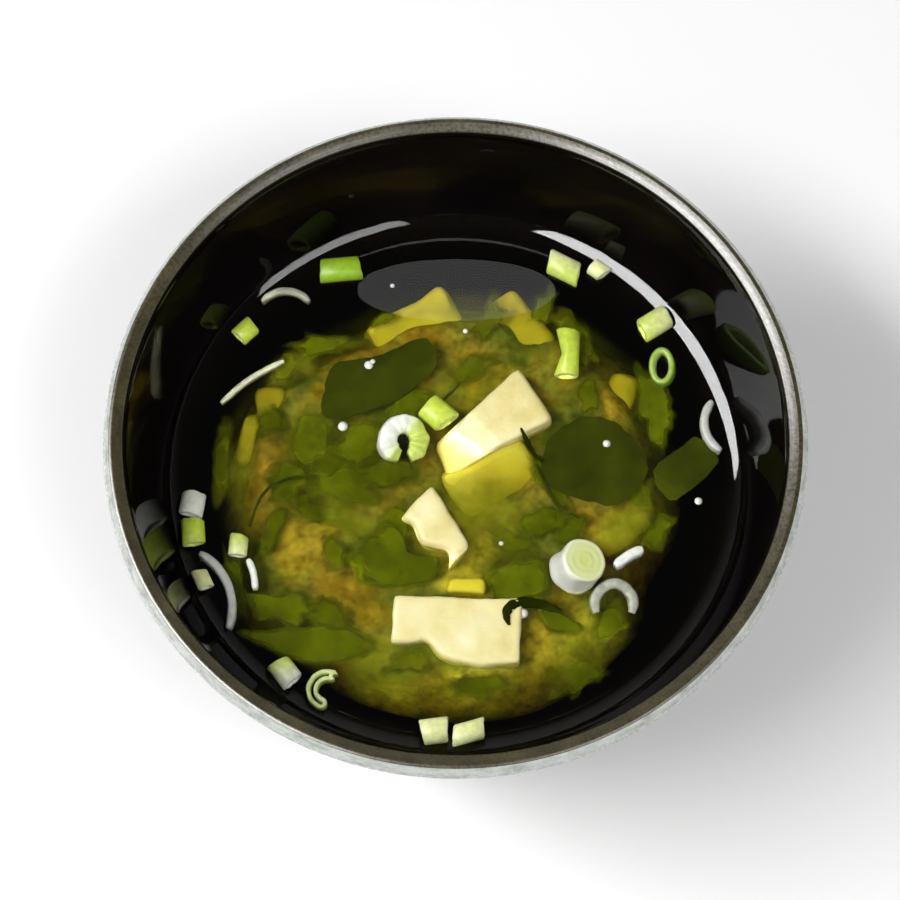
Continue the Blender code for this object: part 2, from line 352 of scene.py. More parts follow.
def painted_reflection_edge_material():
    """The rim's pale grey outer edge: a painted reflection of the floor, as black lacquer shows it at a
    grazing view, with finer darker streaks along it.
    """
    material, tree, shader = new_material("pale_edge")
    reflection_streaks = noise_of(tree, 320, 4, stretch=(1, 1, 4))
    tint = ramp_of(
        tree,
        reflection_streaks,
        ((0.25, (0.24, 0.26, 0.23)), (0.5, (0.42, 0.44, 0.41)), (0.8, (0.55, 0.57, 0.55))),
    )
    tree.links.new(tint, shader.inputs["Base Color"])
    tree.links.new(
        range_of(tree, noise_of(tree, 1500, 3), 0.3, 0.7, 0.2, 0.34), shader.inputs["Roughness"]
    )
    return material


def make_bowl():
    top = HEIGHT / MM
    mouth = RIM_RADIUS / MM - MOUTH_IN
    band = RIM_RADIUS / MM - BAND_IN
    lip = smooth_open(
        [(mouth, top - LIP_DROP)] + [(mouth + across, top - down) for across, down in LIP_SHAPE], 6
    )
    shoulder = arc((band, top - SHOULDER), BAND_IN, SHOULDER, 90, 0, 13)
    foot = [
        Vector(FOOT_TOP),
        Vector((FOOT_RADIUS, FOOT_EDGE * 1.6)),
        Vector((FOOT_RADIUS - FOOT_EDGE * 0.25, FOOT_EDGE * 0.4)),
        Vector((FOOT_RADIUS - FOOT_EDGE, 0)),
        Vector((FOOT_INSIDE_RADIUS + FOOT_EDGE, 0)),
        Vector((FOOT_INSIDE_RADIUS + FOOT_EDGE * 0.25, FOOT_EDGE * 0.3)),
        Vector((FOOT_INSIDE_RADIUS, FOOT_EDGE)),
        Vector((FOOT_INSIDE_RADIUS - FOOT_EDGE, FOOT_RECESS - 1)),
        Vector((FOOT_INSIDE_RADIUS - 2 * FOOT_EDGE, FOOT_RECESS)),
        Vector((0, FOOT_RECESS)),
    ]
    outline = inside_wall() + lip[1:] + shoulder[1:] + outside_wall() + foot
    bowl = turned("lacquer_bowl", outline, lacquer_material())
    bowl.data.materials.append(lip_material())
    # The shoulder's pale grey is a painted reflection; the lip band's olive-brown is its own colour.
    bowl.data.materials.append(painted_reflection_edge_material())
    for face in bowl.data.polygons:
        radius = math.hypot(face.center.x, face.center.y) / MM
        height = face.center.z / MM
        if height > top - BAND_DROP and radius < band + LIP_OVER:
            face.material_index = 1
        elif height > top - SHOULDER and radius > band:
            face.material_index = 2
    bowl.data.set_sharp_from_angle(angle=math.radians(50))
    ride(bowl, "lacquer", "bowl")


# ---------------------------------------------------------------- the soup


def broth_material():
    """Clear soup that takes blue first, so that what lies deeper turns amber, olive and dark."""
    material, tree, shader = new_material("broth")
    shader.inputs["Base Color"].default_value = (1, 1, 1, 1)
    shader.inputs["Transmission Weight"].default_value = 1
    shader.inputs["Roughness"].default_value = 0.0
    shader.inputs["IOR"].default_value = 1.333
    absorb = add_node(
        tree, "ShaderNodeVolumeAbsorption", {"Color": (0.667, 0.644, 0.067, 1), "Density": 450}
    )
    output = tree.nodes["Material Output"]
    tree.links.new(absorb.outputs["Volume"], output.inputs["Volume"])
    return material


def slope_at(inward):
    """The liquid's slope at a distance from the wall."""
    for (near, steep), (far, flat) in zip(CLIMB_SLOPES, CLIMB_SLOPES[1:]):
        if inward <= far:
            return steep + (flat - steep) * (inward - near) / (far - near)
    return 0.0


def make_broth():
    level = LEVEL / MM
    climb = [Vector((CLIMB_SLOPES[-1][0], 0))]
    for step in range(63, -1, -1):
        inward = CLIMB_SLOPES[-1][0] * step / 64
        far = climb[-1]
        climb.append(Vector((inward, far.y + slope_at(inward) * (far.x - inward))))
    wall = beside(inside_wall(), [INTO_WALL] * WALL_POINTS)
    wall = [p for p in wall if p.y < level + climb[-1].y]
    edge = wall[-1].x
    surface = [Vector((edge - p.x, level + p.y)) for p in climb[::-1]]
    surface += [Vector((edge * share, level)) for share in (0.8, 0.6, 0.4, 0.2)]
    outline = [Vector((0, level))] + surface[::-1] + wall[:-1][::-1]
    outline[-1] = Vector((0, FLOOR_Z - INTO_WALL))
    broth = turned("broth", outline, broth_material())
    broth.visible_shadow = False
    ride(broth, "soup", "soup")


# ---------------------------------------------------------------- the miso haze


HEAP = (
    (-41, 12), (-43, -3), (-41, -18), (-38.5, -30), (-27, -35), (-17, -42), (0, -45.5), (15, -43.5),
    (26, -36), (33, -28), (35, -18), (41, -6), (39, 7), (36, 18), (27, 29), (15, 35.5), (3, 37),
    (-9, 36.5), (-22, 30), (-33, 24),
)
HEAP_CENTRE = Vector((-1, -2))
HAZE_DEEP = 15
HAZE_RINGS = 64
HAZE_RIM_SHARE = 0.2

# Colours of the settled miso where it lies clear of the liquid over it; SHADE is painted shade, for its darker
# patches and its deep middle.
OLIVE = (0.17, 0.165, 0.05)
GREENISH = (0.08, 0.11, 0.03)
AMBER = (0.27, 0.195, 0.035)
BROWN = (0.22, 0.14, 0.03)
YELLOW = (0.40, 0.36, 0.07)
SHADE = (0.045, 0.052, 0.012)

HAZE_PATCHES = (
    # x, y, half length, half width, turn, colour, strength
    (-27.5, -13.7, 6.5, 4.5, 70, AMBER, 0.9),
    (-33.5, 16.3, 3.2, 2.2, 20, AMBER, 0.8),
    (-38, 9.3, 5.5, 1.8, 78, AMBER, 0.7),
    (-25, 17.1, 2.2, 1.8, 60, AMBER, 0.9),
    (-14.7, -25.4, 3.6, 2.4, 0, AMBER, 0.9),
    (-11.5, -40.2, 6, 2.6, -5, YELLOW, 1.0),
    (4, -39.2, 9, 4, 5, YELLOW, 0.8),
    (18, -37.7, 9, 4.5, 20, AMBER, 0.8),
    (14.5, -29.7, 4, 5, 80, AMBER, 0.8),
    (24, -30.7, 8, 5, 35, YELLOW, 0.8),
    (29.8, 15.8, 5.5, 3, 75, AMBER, 1.0),
    (28, 24.3, 3.5, 1.4, -55, AMBER, 0.8),
    (6, 17.3, 7, 4, 35, YELLOW, 0.5),
    (3, 23.3, 4, 4, 0, BROWN, 0.8),
    (2.5, -13.7, 4, 3, 20, YELLOW, 0.8),
    (1, -18.7, 5, 2.5, 0, YELLOW, 0.9),
    (7, -4.7, 8, 5, -20, OLIVE, 0.9),
    (31, -9.7, 7, 4, 30, YELLOW, 0.6),
    (26, -14.7, 5, 3, 0, BROWN, 0.6),
    (-24, 2.3, 9, 8, 0, SHADE, 0.9),
    (-14, 3.3, 7, 6, 0, SHADE, 0.9),
    (-33, 2.3, 5, 8, 10, BROWN, 0.6),
    (-36, -16.7, 8, 3, 80, GREENISH, 0.8),
    (-30, -24.7, 8, 3.5, 0, SHADE, 0.9),
    (-12, -14.7, 8, 6, 0, GREENISH, 0.8),
    (-3, 9.3, 3.5, 3, 40, BROWN, 0.7),
    (-18, -20.7, 6, 4, 30, BROWN, 0.7),
    (12, -18.7, 7, 5, 0, SHADE, 0.8),
    (-30, 26.3, 5, 3, 30, GREENISH, 0.7),
    (21, 32.3, 6, 3, -40, SHADE, 0.6),
)
# Hollows in the haze: x, y, half length, half width, turn, colour unused here, depth.
HOLLOWS = ((5.5, 0.5, 10, 6, 29, None, 2.4),)


def patch_share(x, y, patch):
    """How far a soft-edged elliptical patch covers a point, from 0 to 1."""
    turn = math.radians(patch[4])
    across, along = x - patch[0], y - patch[1]
    u = (across * math.cos(turn) + along * math.sin(turn)) / patch[2]
    v = (along * math.cos(turn) - across * math.sin(turn)) / patch[3]
    reach = math.hypot(u, v) + 0.35 * noise.noise(Vector((x * 0.3, y * 0.3, patch[0])))
    return patch[6] * min(1.0, max(0.0, (1.35 - reach) / 0.7))


def haze_tint(x, y):
    """The haze's own colour at a point."""
    wander = noise.fractal(Vector((x * 0.13, y * 0.13, 7.7)), 1.0, 2.0, 4)
    tint = Vector(OLIVE).lerp(Vector(GREENISH if wander > 0 else BROWN), min(1, abs(wander) * 1.8))
    for patch in HAZE_PATCHES:
        tint = tint.lerp(Vector(patch[5]), patch_share(x, y, patch))
    return tint


def haze_material():
    """Settled miso: olive, amber where it is thick, greener over the wakame."""
    material, tree, shader = new_material("miso_haze")
    tint = add_node(tree, "ShaderNodeAttribute", attribute_name="tint").outputs["Color"]
    grain = range_of(tree, noise_of(tree, 420, 4, roughness=0.65), 0.3, 0.7, 0.45, 1.6)
    tree.links.new(scaled(tree, tint, grain), shader.inputs["Base Color"])
    shader.inputs["Roughness"].default_value = 0.9
    shader.inputs["Specular IOR Level"].default_value = 0.0
    return material


def haze_depth(x, y, share):
    """How deep the haze's top lies at a point, share being 0 in the heap's middle and 1 at its rim."""
    ripple = noise.fractal(Vector((x * 0.11, y * 0.11, 3.1)), 1.0, 2.0, 4)
    inner = 3.4 + 1.5 * ripple + sum(patch_share(x, y, hollow) for hollow in HOLLOWS)
    fall = max(0.0, (share - (1 - HAZE_RIM_SHARE)) / HAZE_RIM_SHARE)
    return inner + (HAZE_DEEP - inner) * fall**1.5


def disc_faces(count, rings, start=0):
    """Faces of a disc of rings about its first point."""
    faces = []
    for step in range(count):
        after = (step + 1) % count
        faces.append((start, start + 1 + step, start + 1 + after))
        for ring in range(rings - 1):
            low, high = start + 1 + ring * count, start + 1 + (ring + 1) * count
            faces.append((low + step, high + step, high + after, low + after))
    return faces


WALL = inside_wall()
HAZE_CLEAR = 0.5


def inside_radius(height):
    """The bowl's inside radius at a height, both in millimetres."""
    for low, high in zip(WALL, WALL[1:]):
        if height < high.y:
            return low.x + (high.x - low.x) * (height - low.y) / (high.y - low.y)
    return WALL[-1].x


def haze_point(at, share):
    """A point of the haze's top in metres, kept clear of the bowl's wall."""
    height = LEVEL / MM - haze_depth(at.x, at.y, share)
    reach = min(1.0, (inside_radius(height) - HAZE_CLEAR) / max(1.0, at.length))
    return (at.x * reach * MM, at.y * reach * MM, height * MM)


def set_tints(mesh, tints):
    attribute = mesh.attributes.new("tint", "FLOAT_COLOR", "POINT")
    attribute.data.foreach_set("color", [value for tint in tints for value in (*tint, 1.0)])


def make_haze():
    rim = smooth_loop(HEAP, 10)
    count = len(rim)
    places = [(HEAP_CENTRE, 0.0)]
    for ring in range(1, HAZE_RINGS + 1):
        share = ring / HAZE_RINGS
        places += [(HEAP_CENTRE + (corner - HEAP_CENTRE) * share, share) for corner in rim]
    points = [haze_point(at, share) for at, share in places]
    tints = [haze_tint(at.x, at.y) for at, share in places]
    faces = disc_faces(count, HAZE_RINGS)
    base = len(points)
    points.append((HEAP_CENTRE.x * MM, HEAP_CENTRE.y * MM, LEVEL - 22 * MM))
    # The deep middle takes the painted shade.
    tints.append(Vector(SHADE))
    last = 1 + (HAZE_RINGS - 1) * count
    for step in range(count):
        faces.append((last + step, base, last + (step + 1) % count))
    haze = add_object("miso_haze", points, faces, haze_material())
    set_tints(haze.data, tints)
    ride(haze, "soup")


WISP_DEPTHS = (0.9, 1.9)
WISP_PATCHES = (
    # x, y, half length, half width, turn, colour, strength
    (-30, 21.2, 4, 3, 30, OLIVE, 0.35),
    (-39, 0.7, 5, 2.5, 80, OLIVE, 0.4),
    (-18.5, -8.3, 5, 3, -40, OLIVE, 0.45),
    (-14, -33.3, 4, 3, 20, OLIVE, 0.45),
    (-27, -33.8, 5, 1.6, -12, OLIVE, 0.45),
    (30, -9.3, 5, 3, 35, OLIVE, 0.55),
    (5, -5.8, 8, 5, -25, OLIVE, 0.4),
    (2, -10.8, 4, 3, 30, OLIVE, 0.3),
    (2, 17.2, 8, 5, 30, OLIVE, 0.2),
    (20, 19.2, 4, 3, 60, OLIVE, 0.2),
    (24, -31.8, 7, 5, 30, OLIVE, 0.3),
    (-12, -36.8, 8, 4, 0, OLIVE, 0.25),
    (6, 33.2, 12, 4, 0, OLIVE, 0.18),
)


def wisp_material():
    """Drifting miso: see-through in places, thicker in patches."""
    material, tree, shader = new_material("miso_wisps")
    tint = ramp_of(
        tree,
        noise_of(tree, 240, 3),
        ((0.3, (0.09, 0.10, 0.004)), (0.55, (0.16, 0.165, 0.008)), (0.8, (0.26, 0.26, 0.03))),
    )
    tree.links.new(tint, shader.inputs["Base Color"])
    thick = add_node(tree, "ShaderNodeAttribute", attribute_name="layer").outputs["Fac"]
    drift = range_of(tree, noise_of(tree, 260, 5, roughness=0.65), 0.35, 0.7, 0.35, 1.25)
    both = add_node(tree, "ShaderNodeMath", operation="MULTIPLY", use_clamp=True)
    tree.links.new(thick, both.inputs[0])
    tree.links.new(drift, both.inputs[1])
    tree.links.new(both.outputs[0], shader.inputs["Alpha"])
    shader.inputs["Roughness"].default_value = 0.9
    shader.inputs["Specular IOR Level"].default_value = 0.0
    return material


def make_wisps():
    """Two thin, mostly clear sheets of drifting miso just under the surface."""
    rim = smooth_loop(HEAP, 6)
    count, rings = len(rim), 46
    points, faces, layers = [], [], []
    for depth in WISP_DEPTHS:
        start = len(points)
        places = [(HEAP_CENTRE, 0.0)]
        for ring in range(1, rings + 1):
            share = ring / rings
            places += [(HEAP_CENTRE + (corner - HEAP_CENTRE) * share, share) for corner in rim]
        for at, share in places:
            wave = 0.35 * noise.noise(Vector((at.x * 0.15, at.y * 0.15, depth)))
            points.append((at.x * MM, at.y * MM, LEVEL - (depth + wave) * MM))
            thick = 0.05
            for patch in WISP_PATCHES:
                thick = max(thick, patch_share(at.x, at.y, patch))
            layers.append(thick * min(1.0, (1 - share) / 0.12))
        faces += disc_faces(count, rings, start)
    wisps = add_object("miso_wisps", points, faces, wisp_material())
    set_layers(wisps.data, layers)
    ride(wisps, "soup")


# ---------------------------------------------------------------- tofu


def tofu_material(name, shade=1.0):
    """Soft bean curd: cream with faint yellow clouding and a fine-grained surface. A shade under 1 makes a
    darker, yellower copy without gloss or subsurface: painted shade for blocks in the soup.
    """
    material, tree, shader = new_material(name)
    cloud = noise_of(tree, 130, 3)
    tint = ramp_of(
        tree,
        cloud,
        (
            (0.3, (0.68 * shade, 0.58 * shade, 0.22 * shade**3)),
            (0.5, (0.79 * shade, 0.71 * shade, 0.34 * shade**3)),
            (0.75, (0.86 * shade, 0.81 * shade, 0.50 * shade**3)),
        ),
    )
    tree.links.new(tint, shader.inputs["Base Color"])
    tree.links.new(
        range_of(tree, noise_of(tree, 900, 3), 0.3, 0.7, 0.32, 0.5), shader.inputs["Roughness"]
    )
    shader.inputs["Specular IOR Level"].default_value = 0.2 if shade == 1 else 0.0
    if shade == 1:
        shader.inputs["Subsurface Weight"].default_value = 0.25
        shader.inputs["Subsurface Radius"].default_value = (0.004, 0.003, 0.0015)
        shader.inputs["Subsurface Scale"].default_value = 0.6
    bump(tree, shader, noise_of(tree, 1400, 4), 0.25, 0.0003)
    return material


def soften(obj, voxel, rounds, wander, wave):
    """Remeshes a block evenly, rounds its edges and makes its faces slightly uneven."""
    remesh = obj.modifiers.new("even", "REMESH")
    remesh.mode = "VOXEL"
    remesh.voxel_size = voxel * MM
    relax = obj.modifiers.new("soft", "SMOOTH")
    relax.factor = 0.5
    relax.iterations = rounds
    graph = bpy.context.evaluated_depsgraph_get()
    mesh = bpy.data.meshes.new_from_object(obj.evaluated_get(graph))
    obj.modifiers.clear()
    obj.data = mesh
    mesh.shade_smooth()
    for vert in mesh.vertices:
        place = vert.co / (wave * MM)
        vert.co += vert.normal * noise.fractal(place, 1.0, 2.0, 3) * wander * MM
    return obj


def copy_of(node, name, material):
    """A new piece that starts as the CAD node's own form."""
    mesh = frame["nodes"][node].data.copy()
    bm = bmesh.new()
    bm.from_mesh(mesh)
    bmesh.ops.remove_doubles(bm, verts=bm.verts, dist=1e-6)
    bm.to_mesh(mesh)
    bm.free()
    mesh.materials.clear()
    mesh.materials.append(material)
    made = bpy.data.objects.new(name, mesh)
    bpy.context.scene.collection.objects.link(made)
    return made


DIPS = {
    # which end slips under the surface: its direction, where the dip starts, its run and depth
    "tofu_back": (222, 2, 9, 2.4),
    "tofu_middle": (290, 4, 5, 1.2),
    "tofu_bit": (0, -20, 1, 1.2),
}


def dip_end(obj, towards, start, run, deep):
    """Lowers one end of a block so that it slips under the liquid."""
    way = Vector((math.cos(math.radians(towards)), math.sin(math.radians(towards)), 0))
    centre = sum((vert.co for vert in obj.data.vertices), Vector()) / len(obj.data.vertices)
    for vert in obj.data.vertices:
        along = (vert.co - centre).dot(way) / MM
        share = min(1.0, max(0.0, (along - start) / run))
        vert.co.z -= deep * MM * share


def make_tofu():
    # low is a copy darkened with painted shade, for the bit that sits lower in the soup.
    material, low = tofu_material("tofu"), tofu_material("low_tofu_painted_shade", 0.5)
    for node in ("tofu_back", "tofu_middle", "tofu_front", "tofu_bit"):
        block = copy_of(node, "soft_" + node, low if node == "tofu_bit" else material)
        soften(block, 0.5, 2, 0.35, 7)
        if node in DIPS:
            dip_end(block, *DIPS[node])
        ride(block, "tofu", node)


SUNK_TOFU = (
    # x, y, depth of its top, sizes, turn and tilt
    (-7.8, 30.9, 3.9, (17, 9, 8), 32, 9),
    (11.7, 31.4, 4.0, (7, 13, 8), 40, 5),
    (30, 16.4, 5.2, (6, 11, 8), -14, 6),
    (-26.8, -13.1, 6.4, (9, 13, 8), -8, 5),
    (-33.8, 16.4, 4.6, (6, 5, 7), 10, 8),
    (-37.8, 8.4, 4.6, (3.5, 10, 7), -14, 6),
    (-24.8, 17.4, 4.4, (3.4, 4.2, 6), 10, 10),
    (6.4, 1.2, 2.9, (16.5, 10, 6), 29.4, 26),
)


def make_sunk_tofu():
    """Blocks under the surface, joined as one piece."""
    bm = bmesh.new()
    for x, y, depth, sizes, turn, tilt in SUNK_TOFU:
        rotation = Matrix.Rotation(math.radians(turn), 4, "Z")
        rotation @= Matrix.Rotation(math.radians(tilt), 4, "X")
        scale = Matrix.Diagonal((*(side * MM for side in sizes), 1))
        height = LEVEL - (depth + sizes[2] / 2) * MM
        place = Matrix.Translation((x * MM, y * MM, height)) @ rotation @ scale
        bmesh.ops.create_cube(bm, size=1, matrix=place)
    bmesh.ops.bevel(
        bm, geom=bm.edges[:], offset=1.6 * MM, segments=3, affect="EDGES", profile=0.6
    )
    mesh = bpy.data.meshes.new("sunk_tofu")
    bm.to_mesh(mesh)
    bm.free()
    # The sunken blocks take a copy darkened with painted shade.
    mesh.materials.append(tofu_material("sunk_tofu", 0.62))
    blocks = bpy.data.objects.new("sunk_tofu", mesh)
    bpy.context.scene.collection.objects.link(blocks)
    soften(blocks, 0.55, 4, 0.5, 6)
    ride(blocks, "tofu")


# ---------------------------------------------------------------- wakame


def wakame_material(name, light):
    """Wet dark green leaf, olive in places, with faint veins; soft edges where the haze hides them. light
    scales its colour, so darker and lighter copies of one leaf paint shade and light.
    """
    material, tree, shader = new_material(name)
    cloud = noise_of(tree, 150, 4, roughness=0.6)
    tint = ramp_of(
        tree,
        cloud,
        (
            (0.28, (0.026 * light, 0.032 * light, 0.0006)),
            (0.5, (0.042 * light, 0.054 * light, 0.0009)),
            (0.72, (0.068 * light, 0.082 * light, 0.0015)),
        ),
    )
    tree.links.new(tint, shader.inputs["Base Color"])
    cover = add_node(tree, "ShaderNodeAttribute", attribute_name="layer").outputs["Fac"]
    tree.links.new(cover, shader.inputs["Alpha"])
    shader.inputs["Roughness"].default_value = 0.6
    shader.inputs["Specular IOR Level"].default_value = 0.0
    return material


LEAVES = {
    # outline in millimetres from the bowl's axis, depth under the surface, and softness of its edge
    "wakame_left": (
        ((-22.4, 21.4), (-24, 16.2), (-24.2, 11.8), (-20.6, 10.8), (-15.7, 12.6), (-10.8, 14.8),
         (-5.8, 18.8), (-3.6, 21.8), (-4.1, 25.6), (-7, 26.8), (-13, 23.8), (-18, 22.6)), 0.5, 0.0,
    ),
    "wakame_right": (
        ((17.3, 7.8), (15.6, 2.8), (16.6, -1.4), (21.5, -4), (27, -5.4), (31.2, -4.2),
         (34.4, 0.6), (34.2, 4.8), (31, 8.8), (27.4, 11.2), (22.6, 11.4)), 0.5, 0.0,
    ),
    "wakame_strip": (
        ((43.8, 7.7), (40.4, 5.4), (36.4, 2.4), (36, -0.6), (37, -3), (39.8, -4.2), (47.2, 2.8)), 0.2,
        0.0,
    ),
    "wakame_front": (
        ((-38.4, -29.4), (-33.6, -32.4), (-28, -34.8), (-21.5, -35.4), (-15.7, -34.3), (-13.3, -32.2),
         (-14.4, -29.4), (-24.1, -27.7), (-31.5, -28.4)), 0.7, 0.25,
    ),
    "wakame_centre": (
        ((-18, -12.8), (-18, -17.8), (-13.6, -21.4), (-6, -21.2), (-2.4, -19.4), (-1.6, -15.6),
         (-7.8, -14.2), (-9.4, -10.2), (-12, -8.8)), 0.7, 0.2,
    ),
}
LEAF_RINGS = 14
LEAF_STEPS = 8
LEAF_THICK = 0.25


def leaf_mesh(outline, height, ruffle, rng, softness, tilt=(0, 0)):
    """(points, faces, covers) of a leaf sheet, ruffled more towards its edge; covers is its
    opacity, which falls off near the edge by softness."""
    rim = smooth_loop(outline, LEAF_STEPS)
    centre = sum(rim, Vector((0, 0))) / len(rim)
    phase = rng.uniform(0, 50)
    points, covers = [], []
    count = len(rim)
    for ring in range(LEAF_RINGS + 1):
        share = ring / LEAF_RINGS
        for index in range(count if ring else 1):
            corner = rim[index]
            rough = noise.fractal(Vector((corner.x * 0.5, corner.y * 0.5, phase)), 1.0, 2.0, 3)
            rough *= 0.35 + 2.2 * softness
            reach = 1 + (rough / max(4.0, (corner - centre).length)) * share**3
            at = centre + (corner - centre) * share * reach
            wave = noise.fractal(Vector((at.x * 0.2, at.y * 0.2, phase)), 1.0, 2.0, 3)
            offset = at - centre
            lift = ruffle * wave * (0.4 + 0.6 * share) + tilt[0] * offset.x + tilt[1] * offset.y
            points.append((at.x * MM, at.y * MM, height + lift * MM))
            worn = noise.fractal(Vector((at.x * 0.35, at.y * 0.35, phase)), 1.0, 2.0, 3)
            fade = (share - 1 + softness + 0.6 * softness * worn) / max(softness, 0.01)
            covers.append(1.0 - min(1.0, max(0.0, fade)) if softness else 1.0)
    return points, disc_faces(count, LEAF_RINGS), covers


# These leaves take the lighter copy, with painted light.
LIT_LEAVES = ("wakame_centre", "wakame_front")


def make_surface_leaves():
    # dark and lit are darker and lighter copies of one leaf: painted shade and painted light.
    dark, lit = wakame_material("wakame", 0.35), wakame_material("lit_wakame", 0.8)
    rng = random.Random(11)
    for node, (outline, depth, softness) in LEAVES.items():
        points, faces, covers = leaf_mesh(outline, LEVEL - depth * MM, 0.25, rng, softness)
        finish = lit if node in LIT_LEAVES else dark
        leaf = add_object("leaf_" + node, points, faces, finish)
        set_layers(leaf.data, covers)
        ride(leaf, "wakame", node)
    make_strands(dark)


def lobed_outline(x, y, half_length, half_width, turn, rng):
    """A wavy leaf outline about a point."""
    corners = []
    count = rng.randint(8, 12)
    for index in range(count):
        angle = math.tau * (index + rng.uniform(-0.2, 0.2)) / count
        reach = rng.uniform(0.72, 1.28)
        local = Vector((half_length * reach * math.cos(angle), half_width * reach * math.sin(angle)))
        local.rotate(Matrix.Rotation(math.radians(turn), 2))
        corners.append((x + local.x, y + local.y))
    return corners


SUNK_LEAVES = (
    # x, y, depth, half length, half width, turn
    (36, 13.3, 1.0, 10, 3.2, 98),
    (-42, 4.3, 1.8, 9, 1.8, 84),
    (-39.5, -19.7, 1.4, 7.5, 2.2, 106),
    (-30.5, -24.7, 1.0, 7, 3.6, -4),
    (-25, 25.8, 1.8, 6.5, 2.6, 10),
    (-33.5, 11.3, 2.2, 3.5, 3, 50),
    (-26.5, 7.3, 1.4, 5.5, 4.4, 70),
    (-17, 6.8, 1.3, 6.5, 4.5, 20),
    (-9, 13.8, 1.0, 8, 2.8, 42),
    (-29.5, -0.7, 1.5, 6, 4.4, 20),
    (-20, -1.7, 1.4, 8, 4.6, -10),
    (-22, 3.3, 1.8, 8, 5, 30),
    (-12, 0.8, 1.6, 6, 4, 10),
    (-25, -6.7, 2.0, 7, 3, -20),
    (-31, 21.3, 1.6, 5, 2.6, 50),
    (10, -11.7, 2.0, 6, 3, -30),
    (-32.5, -9.7, 1.6, 6.5, 2.2, 80),
    (-10.5, -8.7, 1.5, 6, 4, 60),
    (-21.5, -13.7, 1.6, 4, 2.4, 100),
    (-13.5, -16.7, 1.0, 7, 5, 20),
    (6, 30.8, 1.4, 6, 2.6, 65),
    (3, 21.3, 2.0, 5, 3, 20),
    (16, 33.3, 1.6, 5, 2.2, 70),
    (22, 26.8, 1.5, 6.5, 3, -60),
    (24, 16.3, 1.6, 5, 3, 90),
    (17.5, -1.7, 1.2, 7, 2.2, -62),
    (15.5, -8.7, 1.3, 5.5, 3.4, 20),
    (21, -9.7, 1.8, 4.4, 3, 60),
    (11.5, -19.2, 1.0, 6.5, 4.4, 10),
    (18, -26.7, 1.4, 5, 2.6, -50),
    (27.5, -26.7, 1.9, 5.5, 3, 60),
    (22.5, -36.7, 2.2, 6, 3.4, 25),
    (4, -38.7, 2.0, 7.5, 3.4, 0),
    (-7.5, -34.7, 1.6, 5, 2.2, 10),
    (-21, -30.7, 1.6, 6, 2.6, -12),
    (-22.5, -25.7, 1.8, 5, 3.4, -40),
    (36.5, -10.2, 2.0, 4.5, 2.6, 60),
    (33, -2.7, 1.6, 4.4, 3, 90),
    (-13.5, 31.3, 2.0, 3.4, 1.6, 30),
    (5, 11.8, 1.8, 4, 2.6, 30),
)


def make_sunk_leaves():
    """The wakame under the surface, joined as one piece."""
    rng = random.Random(5)
    points, faces, covers = [], [], []
    top = LEVEL - 0.5 * MM
    for x, y, depth, half_length, half_width, turn in SUNK_LEAVES:
        outline = lobed_outline(x, y, half_length, half_width, turn, rng)
        tilt = (rng.uniform(-0.1, 0.1), rng.uniform(-0.1, 0.1))
        softness = min(0.6, 0.12 + 0.2 * depth)
        more, sheets, cover = leaf_mesh(outline, LEVEL - depth * MM, 0.8, rng, softness, tilt)
        start = len(points)
        points += [(px, py, min(pz, top)) for px, py, pz in more]
        faces += [tuple(start + index for index in face) for face in sheets]
        covers += cover
    # The sunken leaves take a lighter copy of the leaf: painted light.
    leaves = add_object("sunk_wakame", points, faces, wakame_material("sunk_wakame", 1.05))
    set_layers(leaves.data, covers)
    ride(leaves, "wakame")


# ---------------------------------------------------------------- scallion


def scallion_material(name, outer, inner, rim):
    """A cut tube: outer skin, paler inner wall and cut rims, and a greener side where it has one."""
    material, tree, shader = new_material(name)
    layer = add_node(tree, "ShaderNodeAttribute", attribute_name="layer").outputs["Fac"]
    side = add_node(tree, "ShaderNodeAttribute", attribute_name="green_side").outputs["Fac"]
    fibres = noise_of(tree, 900, 4)
    skin = ramp_of(tree, layer, ((0.0, inner), (0.5, rim), (1.0, outer)))
    skin = mix_of(tree, side, skin, (0.56, 0.68, 0.12))
    grain = range_of(tree, fibres, 0.25, 0.75, 0.80, 1.10)
    tree.links.new(scaled(tree, skin, grain), shader.inputs["Base Color"])
    shader.inputs["Roughness"].default_value = 0.4
    shader.inputs["Specular IOR Level"].default_value = 0.25
    shader.inputs["Subsurface Weight"].default_value = 0.2
    shader.inputs["Subsurface Radius"].default_value = (0.002, 0.002, 0.001)
    shader.inputs["Subsurface Scale"].default_value = 0.5
    bump(tree, shader, fibres, 0.2, 0.0002)
    return material


# Outer skin, inner skin and cut rim.
PALETTES = {
    "green": ((0.30, 0.50, 0.02), (0.42, 0.62, 0.07), (0.52, 0.70, 0.12)),
    "lime": ((0.58, 0.72, 0.07), (0.64, 0.76, 0.13), (0.72, 0.80, 0.24)),
    "pale": ((0.76, 0.80, 0.36), (0.80, 0.83, 0.50), (0.84, 0.87, 0.66)),
    "white": ((0.72, 0.74, 0.63), (0.78, 0.80, 0.72), (0.82, 0.84, 0.78)),
    "dark": ((0.17, 0.32, 0.02), (0.40, 0.52, 0.14), (0.30, 0.46, 0.05)),
    "leek": ((0.32, 0.42, 0.09), (0.50, 0.58, 0.24), (0.58, 0.66, 0.28)),
    "silver": ((0.42, 0.43, 0.38), (0.46, 0.47, 0.42), (0.55, 0.56, 0.51)),
    "glassy": ((0.24, 0.25, 0.17), (0.29, 0.30, 0.22), (0.38, 0.39, 0.31)),
}


